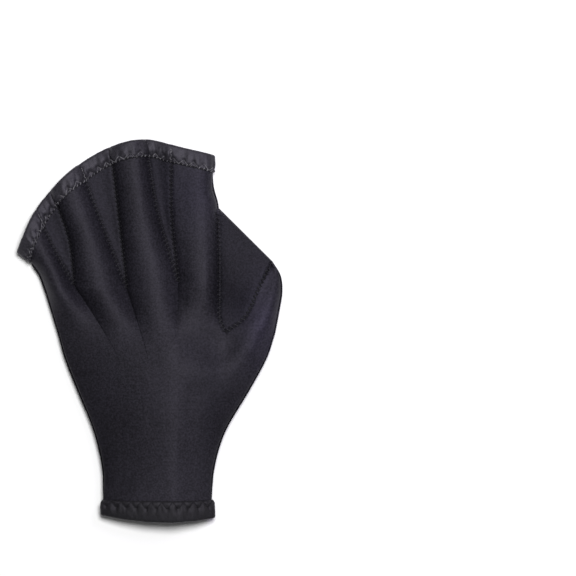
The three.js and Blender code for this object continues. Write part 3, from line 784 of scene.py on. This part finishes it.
def tape_relief(at, share, width, pitch, low, high, pit, seams, seed):
    """Thickness of the tape's wall as a share of its full one."""

    def slow_noise(places, shift):
        return np.array([noise.noise(Vector((value, 0.0, seed + shift))) for value in places])[None, :]

    at, share = np.meshgrid(at, share)
    phase = at / pitch % 1.0
    low_pit = np.hypot((np.minimum(phase, 1 - phase)) * pitch, (share - low) * width)
    high_pit = np.hypot((phase - 0.5) * pitch, (share - high) * width)
    lean = abs(high - low) * width / (pitch / 2)
    leg = np.abs(share - lerp(low, high, 1 - np.abs(2 * phase - 1))) * width / math.hypot(lean, 1.0)
    on_leg = smoothstep(share, low - 0.04, low) * (1 - smoothstep(share, high, high + 0.04))
    wrinkle = np.array([slow_waves(line_at, line_share * width, seed, WRINKLES)
                        for line_at, line_share in zip(at, share)])
    spot = 1 + slow_noise(at[0] * SPOT_RATE, 13)
    fold_fade = smoothstep(share, *FADE_OUT)
    fading = smoothstep(share, high - 0.1, high + 0.2) * (1 - fold_fade)
    puff = PUFF * np.cos(2 * math.pi * phase) * fading * (0.6 + slow_noise(at[0] / PUFF_LENGTH, 9))
    thick = 1.0 + puff + WRINKLE * wrinkle * smoothstep(share, 0.0, 0.2) * (1 - 0.7 * fold_fade)
    thick -= spot * (HIGH_PIT * np.exp(-(high_pit / pit) ** 2) + LOW_PIT * np.exp(-(low_pit / pit) ** 2))
    thick -= GROOVE * np.exp(-(leg / GROOVE_WIDTH) ** 2) * on_leg
    crossing = 1 - smoothstep(share, 0.55, 0.9)
    for seam in seams:
        thick -= CREASE * crossing * np.exp(-((at - seam) / CREASE_HALF) ** 2)
        thick += WELT * crossing * np.exp(-((np.abs(at - seam) - WELT_PLACE) / WELT_WIDTH) ** 2)
    thick += ROLL * (np.sin(math.pi * np.clip(share, 0, 1) ** 0.75) - 0.45)
    return np.clip(thick, *THICKNESS_LIMITS) * lerp(THIN_EDGE, 1.0, smoothstep(share, -0.001, 0.09))


def build_tape(grids, zigzag, seed, ring=False, limit=None, face=1, knots=()):
    """A tape folded over an edge. Rows run from the stitched edge to the panel's edge."""
    (outer, inner, normal), at, run = resampled(grids, grids[0][-1], ring)
    normal = unit(normal)
    seams = [run[knot] for knot in knots]
    if ring:
        zigzag = dict(zigzag, pitch=at[-1] / round(at[-1] / zigzag["pitch"]))
    rows = len(outer)
    share = np.linspace(0.0, 1.0, rows)
    width = float(np.mean(np.linalg.norm(outer[-1] - outer[0], axis=1)))
    thick = tape_relief(at, share, width, seams=seams, seed=seed, **zigzag)
    if not ring:
        from_end = np.minimum(at, at[-1] - at)
        thick = thick * lerp(THIN_END, 1.0, np.sqrt(smoothstep(from_end, -0.2, 1.6)))[None, :]
    far = TAPE_CLEARANCE + TAPE_WALL * thick
    ahead = np.roll(outer[-1], -1, axis=0) - np.roll(outer[-1], 1, axis=0)
    if not ring:
        ahead[0], ahead[-1] = outer[-1, 1] - outer[-1, 0], outer[-1, -1] - outer[-1, -2]
    away = unit(np.cross(ahead, normal[-1]))
    flip = np.sign(np.sum(away * (outer[-1] - outer[-2]), axis=1))
    away = away * np.where(flip == 0, 1.0, flip)[:, None]
    middle = (outer[-1] + inner[-1]) / 2
    half = np.linalg.norm(outer[-1] - inner[-1], axis=1)[:, None] / 2
    folded = share >= INNER_SHARE

    def fold(reach, angles):
        return [middle + normal[-1] * (half + reach) * math.cos(angle) + away * reach * math.sin(angle)
                for angle in angles]

    under = (inner - normal * TAPE_REACH)[folded][::-1]
    back_under = (inner - normal * TAPE_CLEARANCE)[folded]
    back_top = (outer + normal * TAPE_CLEARANCE)[::-1]
    loop = np.concatenate([outer + normal * far[:, :, None], fold(far[-1][:, None], FOLD_ANGLES), under,
                           back_under, fold(TAPE_CLEARANCE, FOLD_ANGLES[::-1]), back_top])
    if limit is not None:
        bound = smooth_columns(np.interp(at, run, limit)[None, :, None], ring)[0, :, 0]
        loop[:, :, 2] = (np.maximum if face > 0 else np.minimum)(loop[:, :, 2], bound)
    size, count = loop.shape[:2]
    points = loop.transpose(1, 0, 2).reshape(-1, 3)
    faces = []
    for column in range(count if ring else count - 1):
        a, b = column * size, (column + 1) % count * size
        for corner in range(size):
            after = (corner + 1) % size
            faces.append((a + corner, a + after, b + after, b + corner))
    if not ring:
        end = (count - 1) * size
        for corner in range(size // 2 - 1):
            back_corner = size - 1 - corner
            quad = (corner, back_corner, back_corner - 1, corner + 1)
            faces += [quad, tuple(end + vertex for vertex in reversed(quad))]
    return dict(points=points, faces=oriented(points, faces), top=np.array(loop[:rows]), normal=normal, at=at,
                zigzag=zigzag, ring=ring, seams=seams)


def oriented(points, faces):
    """Faces turned so that they point out of the closed solid."""
    a, b, c, d = np.moveaxis(points[np.array(faces)], 1, 0)
    volume = np.sum(a * (np.cross(b, c) + np.cross(c, d)))
    return faces if volume > 0 else [tuple(reversed(ring)) for ring in faces]


class Thread:
    """Stitches gathered into one mesh."""

    SIDES = 6
    END_SIZE = 0.55

    def __init__(self):
        self.points, self.faces = [], []

    def stitch(self, find, count, radius, dip, rise):
        """One stitch: a tube over the places it finds, thinner at both ends where it enters the cloth."""
        spots = [find(share) for share in np.linspace(0, 1, count)]
        if any(point is None for point, _ in spots):
            return
        heights = -dip + (dip + rise) * np.sqrt(np.sin(np.linspace(0.0, math.pi, count)))
        path = np.array([point + up * height for (point, up), height in zip(spots, heights)])
        ahead = unit(np.gradient(path, axis=0))
        side = unit(np.cross(ahead, unit(np.array([up for _, up in spots]))))
        up = np.cross(side, ahead)
        start = len(self.points)
        angles = np.arange(self.SIDES)[:, None] * 2 * math.pi / self.SIDES
        for number, centre in enumerate(path):
            size = radius * (self.END_SIZE if number in (0, count - 1) else 1.0)
            self.points += list(centre + size * (np.cos(angles) * side[number] + np.sin(angles) * up[number]))
        rings = start + np.arange(count * self.SIDES).reshape(count, self.SIDES)
        for low, high in zip(rings, rings[1:]):
            around = zip(low, np.roll(low, -1), np.roll(high, -1), high)
            self.faces += [tuple(map(int, ring)) for ring in around]
        self.faces += [tuple(map(int, rings[0][::-1])), tuple(map(int, rings[-1]))]


def on_grid(grid, column, row):
    """Place on a grid of rows by columns, between its points."""
    rows, columns = grid.shape[:2]
    row = min(max(row, 0.0), rows - 1.001)
    r, c = int(row), int(column)
    fr, fc = row - r, column - c
    c0, c1 = c % columns, (c + 1) % columns
    return lerp(lerp(grid[r, c0], grid[r, c1], fc), lerp(grid[r + 1, c0], grid[r + 1, c1], fc), fr)


def sew_tape(thread, tape):
    """Zigzag stitches of a tape, and the seam threads that cross it."""
    rows = len(tape["top"]) - 1
    step = tape["at"][1]
    columns = len(tape["at"])
    ring, zigzag = tape["ring"], tape["zigzag"]

    def leg(start, end, radius, rise):
        def find(share):
            column = lerp(start[0], end[0], share) / step
            row = lerp(start[1], end[1], share) * rows
            return on_grid(tape["top"], column, row), on_grid(tape["normal"], column, row)

        thread.stitch(find, TAPE_POINTS, radius, radius * 0.9, rise)

    length = columns * step if ring else (columns - 1) * step
    half = zigzag["pitch"] / 2
    holes = (zigzag["low"], zigzag["high"])
    first_hole = 0.0 if ring else 0.7
    end_margin = 0.6
    for number in range(int(length / half + 0.01)):
        if not ring and (number + 1) * half > length - end_margin:
            continue
        wander = 0 if ring else noise.noise(Vector((number * 0.73, 3.1, 0.5)))
        leg((max(number * half, first_hole), holes[number % 2]), ((number + 1) * half, holes[1 - number % 2]),
            TAPE_THREAD * (1 + THICKNESS_WANDER * wander), TAPE_THREAD * (0.5 + HEIGHT_WANDER * wander))
    if not ring:
        for number in range(int(length / EDGE_PITCH)):
            at = (number + 0.5) * EDGE_PITCH
            leg((at, -0.02), (at + 0.7, 0.13), EDGE_THREAD, EDGE_THREAD)
    steps = 7
    lean = 0.9
    for seam in tape["seams"]:
        for number in range(steps - 1):
            sign = lean if number % 2 else -lean
            leg((seam + sign, (number + 0.2) / steps), (seam - sign, (number + 1.2) / steps - 0.03),
                SEAM_THREAD, SEAM_THREAD * 0.5)


def strip_grids(panel, rows):
    """Outer and inner surface and normals of a panel at some rows."""
    return [np.array([panel[key][panel["strips"][row]] for row in rows])
            for key in ("outer", "inner", "normals")]


def finger_tape(panel, seed):
    rows = [row for row in PANEL_ROWS if row >= BAND_ROW - ROUNDING]
    edge = panel["strips"][rows[-1]]
    limit = panel["limit"][edge] - panel["face"] * (panel["gaps"][edge] - PANEL_GAP / 2)
    counts = [WEB_COLUMNS if lane.get("web") else LANE_COLUMNS for lane in LANES.values()]
    return build_tape(strip_grids(panel, rows), TOP_ZIGZAG, seed, False, limit, panel["face"],
                      np.cumsum(counts[:6]))


def cuff_tape(back_panel, palm_panel, seed):
    rows = [row for row in PANEL_ROWS if row <= CUFF_ROW + ROUNDING][::-1]
    grids = [np.concatenate([over, under[:, ::-1]], axis=1)
             for over, under in zip(strip_grids(back_panel, rows), strip_grids(palm_panel, rows))]
    return build_tape(grids, CUFF_ZIGZAG, seed, True)


def sew_seams(threads, panel, tree):
    """Zigzag along the stitched lines, laid on the panel's outer face. Every other stitch gets a lighter
    thread as a painted highlight.
    """
    face = panel["face"]
    above = 60.0
    samples = 240
    first_hole, edge_margin, thumb_margin = 0.3, 0.4, 2.4

    def drop(x, y):
        origin = Vector((x, y, face * above))
        hit, normal, _, _ = tree.ray_cast(origin, Vector((0, 0, -face)))
        return (None, None) if hit is None else (np.array(hit), np.array(normal))

    for name, line in LINES.items():
        if "valley" not in line:
            continue
        thumb = line["valley"] == 3
        first, last = (THUMB_ROW, FREE_EDGE) if thumb else (CROTCH_ROW, BAND_ROW)
        dense = [line_point(name, row) for row in np.linspace(first, last, samples)]
        plan = np.array([(point["x"], point["y"]) for point in dense])
        run = run_along(plan)
        legs = int((run[-1] - (thumb_margin if thumb else edge_margin)) / (STITCH_PITCH / 2))
        at = first_hole + np.arange(legs + 1) * STITCH_PITCH / 2
        x, y = np.interp(at, run, plan[:, 0]), np.interp(at, run, plan[:, 1])
        slope = unit(np.stack([np.gradient(x), np.gradient(y)], axis=1))
        sign = np.where(np.arange(legs + 1) % 2, 1.0, -1.0) * ZIGZAG_HALF
        x, y = x - slope[:, 1] * sign, y + slope[:, 0] * sign
        for number in range(legs):
            def find(share):
                return drop(lerp(x[number], x[number + 1], share), lerp(y[number], y[number + 1], share))

            # Every other leg takes the lighter thread, a painted highlight
            threads["light" if number % 2 else "dark"].stitch(find, SEAM_POINTS, SEAM_THREAD, SEAM_THREAD,
                                                              SEAM_THREAD * 0.55)


# Materials. The grain is fine, the clouds are wide, and the ramp turns both into the colours.
SPECULAR_TINT = (0.9, 0.86, 1.0)
SPECULAR_LEVEL = 0.3
GRAIN_SHARE = 0.6
CLOUD_SCALE = 34.0
RAMP = (0.36, 0.64)
FLECK = {"From Min": 0.35, "From Max": 0.65, "To Min": 0.84, "To Max": 1.16}
ROUGHNESS_SPREAD = 0.08
RIB_DISTORTION = 1.2
BUMP_DISTANCE = 0.0002


def socket(node, name, value):
    node.inputs[name].default_value = value


def cloth_material(name, dark, light, roughness, rib, grain, bump, painted_light=False):
    """Knitted cloth: fine ribs, grain and slow changes of colour."""
    material = bpy.data.materials.new(name)
    material.use_nodes = True
    nodes, links = material.node_tree.nodes, material.node_tree.links
    nodes.clear()

    def add(kind, inputs, output=0, **settings):
        """Output of a new node with a value or a link on each of its inputs."""
        node = nodes.new("ShaderNode" + kind)
        for key, value in settings.items():
            setattr(node, key, value)
        for key, value in inputs.items():
            if isinstance(value, bpy.types.NodeSocket):
                links.new(value, node.inputs[key])
            else:
                socket(node, key, value)
        return node.outputs[output] if node.outputs else None

    here = nodes.new("ShaderNodeTexCoord").outputs["Object"]
    speckle = add("TexNoise", {"Scale": grain, "Detail": 3.0, "Vector": here}, "Fac")
    cloud = add("TexNoise", {"Scale": CLOUD_SCALE, "Detail": 2.0, "Vector": here}, "Fac")
    clouded = add("Math", {0: cloud, 1: 1 - GRAIN_SHARE}, operation="MULTIPLY")
    mixed = add("Math", {0: speckle, 1: GRAIN_SHARE, 2: clouded}, operation="MULTIPLY_ADD")
    colour = add("ValToRGB", {"Fac": mixed}, "Color")
    for element, position, shade in zip(colour.node.color_ramp.elements, RAMP, (dark, light)):
        element.position, element.color = position, (*shade, 1)
    tint = (*SPECULAR_TINT, 1)
    # Painted shade and highlight from the attribute darken and lighten the base colour and the specular tint
    if painted_light:
        painted_tone = add("Attribute", {}, "Color", attribute_name=PAINTED_LIGHT_ATTRIBUTE)
        fleck = add("MapRange", {"Value": speckle, **FLECK}, "Result")
        flecked = add("VectorMath", {0: painted_tone, "Scale": fleck}, operation="SCALE")
        colour, tint = (add("VectorMath", {0: flecked, 1: factor}, operation="MULTIPLY")
                        for factor in (colour, SPECULAR_TINT))
    rough = add("MapRange", {"Value": speckle, "To Min": roughness - ROUGHNESS_SPREAD,
                             "To Max": roughness + ROUGHNESS_SPREAD}, "Result")
    ribs = [add("TexWave", {"Scale": rib, "Distortion": RIB_DISTORTION, "Detail": 1.0, "Vector": here}, "Fac",
                bands_direction=direction) for direction in "XY"]
    knit = add("Math", {0: ribs[0], 1: ribs[1]}, operation="MULTIPLY")
    total = add("Math", {0: knit, 1: speckle}, operation="ADD")
    relief = add("Bump", {"Strength": bump, "Distance": BUMP_DISTANCE, "Height": total}, "Normal")
    shader = add("BsdfPrincipled", {"Base Color": colour, "Specular Tint": tint, "Roughness": rough,
                                    "Specular IOR Level": SPECULAR_LEVEL, "Normal": relief}, "BSDF")
    add("OutputMaterial", {"Surface": shader})
    return material


# Darkest and lightest colour, roughness, scales of the ribs and the grain, and strength of the bump
LOOKS = {
    "neoprene_jersey": ((0.003, 0.0027, 0.0042), (0.0112, 0.0103, 0.0148), 0.6, 480.0, 900.0, 0.5, True),
    "satin_tape": ((0.01, 0.0094, 0.012), (0.0255, 0.024, 0.0296), 0.5, 600.0, 900.0, 0.3),
    # The cuff tape is the same tape as the satin tape, painted darker as shade
    "cuff_tape": ((0.0032, 0.0031, 0.0035), (0.0102, 0.01, 0.0108), 0.6, 600.0, 900.0, 0.35),
    "seam_thread": ((0.001, 0.001, 0.0013), (0.008, 0.0078, 0.009), 0.75, 2500.0, 1500.0, 0.3),
    # The lighter seam thread is the seam thread painted lighter as a highlight
    "painted_highlight_seam_thread": ((0.002, 0.002, 0.0025), (0.024, 0.0235, 0.0265), 0.65, 2500.0, 900.0, 0.3),
    "tape_thread": ((0.004, 0.004, 0.005), (0.15, 0.146, 0.158), 0.36, 2500.0, 500.0, 0.3),
}
CLOTH, TAPE, CUFF_TAPE_PAINTED_SHADE, DARK_THREAD, PAINTED_HIGHLIGHT_THREAD, TAPE_THREAD_LOOK = (
    cloth_material(name, *look) for name, look in LOOKS.items())

# The part's own origin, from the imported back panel's box
back_panel, palm_panel = build_panel(1), build_panel(-1)
low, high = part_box("back_panel")
middle = (back_panel["outer"].min(axis=0) + back_panel["outer"].max(axis=0)) / 2
ORIGIN = np.array([(low.x + high.x) / 2 / MM - middle[0], (low.y + high.y) / 2 / MM - middle[1], 0.0])


def flat_area(panel):
    """Area in square metres of a panel's outer face, which is its flat area as the cloth isn't stretched."""
    outer = panel["outer"] * MM
    area = 0.0
    for ring in panel["faces"][:panel["sheet_faces"]]:
        corners = outer[list(ring)]
        across = np.cross(corners[1:-1] - corners[0], corners[2:] - corners[0])
        area += np.linalg.norm(across, axis=1).sum() / 2
    return float(area)


panels = dict(back=back_panel, palm=palm_panel)
cloths = {side: add_piece(f"{side}_panel_cloth", panel, CLOTH, f"{side}_panel")
          for side, panel in panels.items()}
tapes = dict(back_tape=finger_tape(back_panel, TAPE_SEEDS["back"]),
             palm_tape=finger_tape(palm_panel, TAPE_SEEDS["palm"]),
             cuff_tape=cuff_tape(back_panel, palm_panel, TAPE_SEEDS["cuff"]))
trims = {side: [add_piece(f"finger_tape_{side}", tapes[f"{side}_tape"], TAPE,
                          f"finger_binding_{side}")] for side in panels}
# The cuff tape takes the tape colour painted darker as shade
add_piece("cuff_tape", tapes["cuff_tape"], CUFF_TAPE_PAINTED_SHADE, "cuff_binding")

for side, panel in panels.items():
    seam_threads = dict(dark=Thread(), light=Thread())
    tree = BVHTree.FromPolygons([tuple(point) for point in panel["points"]], panel["faces"])
    sew_seams(seam_threads, panel, tree)
    # The light stitches carry the thread painted lighter as a highlight
    for shade, look in (("dark", DARK_THREAD), ("light", PAINTED_HIGHLIGHT_THREAD)):
        stitches = vars(seam_threads[shade])
        trims[side].append(add_piece(f"seam_stitches_{shade}_{side}", stitches, look))
for name, tape in tapes.items():
    tape_thread = Thread()
    sew_tape(tape_thread, tape)
    add_piece(f"{name}_stitches", vars(tape_thread), DARK_THREAD if tape["ring"] else TAPE_THREAD_LOOK)

# Flat area of each panel's outer face, as it was cut before it was sewn
flat_area(back_panel)
flat_area(palm_panel)


# Floor, lights and camera
def add_floor():
    side = 3.0
    mesh = bpy.data.meshes.new("floor")
    corners = [(-side, -side, 0), (side, -side, 0), (side, side, 0), (-side, side, 0)]
    mesh.from_pydata(corners, [], [(0, 1, 2, 3)])
    material = bpy.data.materials.new("pale_floor")
    material.use_nodes = True
    shader = material.node_tree.nodes["Principled BSDF"]
    socket(shader, "Base Color", (0.92, 0.92, 0.92, 1))
    socket(shader, "Roughness", 0.9)
    mesh.materials.append(material)
    link_object("floor", mesh)


def add_light(name, location, size, power, color=(1, 1, 1)):
    """Round soft light that points at the origin."""
    data = bpy.data.lights.new(name, "AREA")
    data.shape = "DISK"
    data.size = size
    data.energy = power
    data.color = color
    lamp = link_object(name, data)
    lamp.location = location
    lamp.rotation_euler = (-Vector(location)).to_track_quat("-Z", "Y").to_euler()


def add_camera():
    """Camera straight above, framed as the photograph: its pixels per millimetre and its centre."""
    photo_side = 576
    glove_pixels = (17.0, 282.5, 137.0, 520.7)
    box_low, box_high = cad_box
    scale = (box_high[0] - box_low[0]) / (glove_pixels[1] - glove_pixels[0])
    centre_x = box_low[0] + (photo_side / 2 - glove_pixels[0]) * scale
    centre_y = box_low[1] + (glove_pixels[3] - photo_side / 2) * scale
    distance = 1.6
    data = bpy.data.cameras.new("camera")
    data.sensor_width = 36.0
    data.lens = data.sensor_width * distance / (photo_side * scale)
    camera = link_object("camera", data)
    camera.location = (centre_x, centre_y, distance)
    bpy.context.scene.camera = camera


add_floor()
add_light("key", (0.16, 0.26, 1.3), 0.4, 18.6)
add_light("side", (0.55, 0.5, 0.9), 0.4, 2.4, (0.8, 0.7, 1.0))
world = bpy.data.worlds.new("studio")
world.use_nodes = True
background = world.node_tree.nodes["Background"]
socket(background, "Color", (1, 1, 1, 1))
socket(background, "Strength", 0.12)
bpy.context.scene.world = world
bpy.context.scene.view_settings.view_transform = "Standard"
add_camera()
